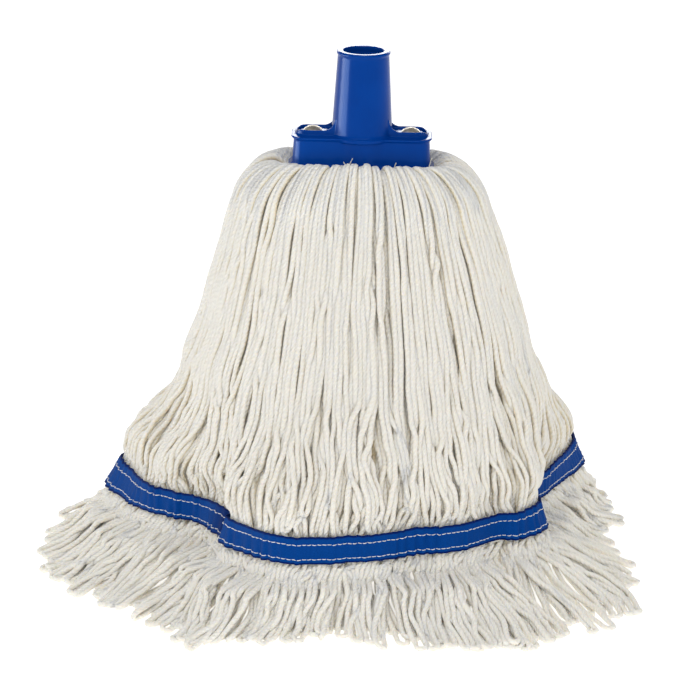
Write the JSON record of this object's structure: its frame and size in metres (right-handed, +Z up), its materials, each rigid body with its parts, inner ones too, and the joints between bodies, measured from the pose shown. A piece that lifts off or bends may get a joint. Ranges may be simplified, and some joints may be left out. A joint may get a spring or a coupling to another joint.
{
  "type": "string mop head",
  "caption": "Looped-end string mop head: an oblong plastic socket with a handle tube, two rivets, a bell of white twisted yarn and a blue stitched tail band.",
  "frame": {"origin": "on the floor that the yarn stands on, under the axis of the handle tube", "axes": "+Z up along the handle tube, X along the oblong hood and its clamp plate, Y across it"},
  "size_m": [0.4, 0.344, 0.331],
  "materials": {
    "blue_plastic": "gloss",
    "rivet_metal": "satin",
    "plate_steel": "satin",
    "yarn": "matte",
    "tape_cloth": "matte",
    "band_ribbon": "matte",
    "thread": "matte"
  },
  "bodies": {
    "yarn_skirt": {"yarn_hank_01": "yarn", "yarn_hank_02": "yarn", "yarn_hank_03": "yarn", "yarn_hank_04": "yarn", "yarn_hank_05": "yarn", "yarn_hank_06": "yarn", "yarn_hank_07": "yarn", "yarn_hank_08": "yarn", "yarn_hank_09": "yarn", "yarn_hank_10": "yarn", "yarn_hank_11": "yarn", "yarn_hank_12": "yarn", "yarn_hank_13": "yarn", "yarn_hank_14": "yarn", "yarn_hank_15": "yarn", "yarn_hank_16": "yarn", "inner_yarn": "yarn", "yarn_neck": "yarn", "tail_band": "band_ribbon", "stitch_row_upper": "thread", "stitch_row_lower": "thread"},
    "socket": {"socket_body": "blue_plastic", "rivet_left": "rivet_metal", "rivet_right": "rivet_metal", "rivet_washer_left": "plate_steel", "rivet_washer_right": "plate_steel", "clamp_plate": "plate_steel", "heading_tape": "tape_cloth", "yarn_core": "yarn"}
  },
  "joints": [
    {"name": "socket_tilt", "type": "hinge", "parent": "yarn_skirt", "child": "socket", "pos_m": [0, 0, 0.235], "axis": [1, 0, 0], "range_deg": [-25, 25], "stiffness_Nm_per_rad": 0.6}
  ]
}
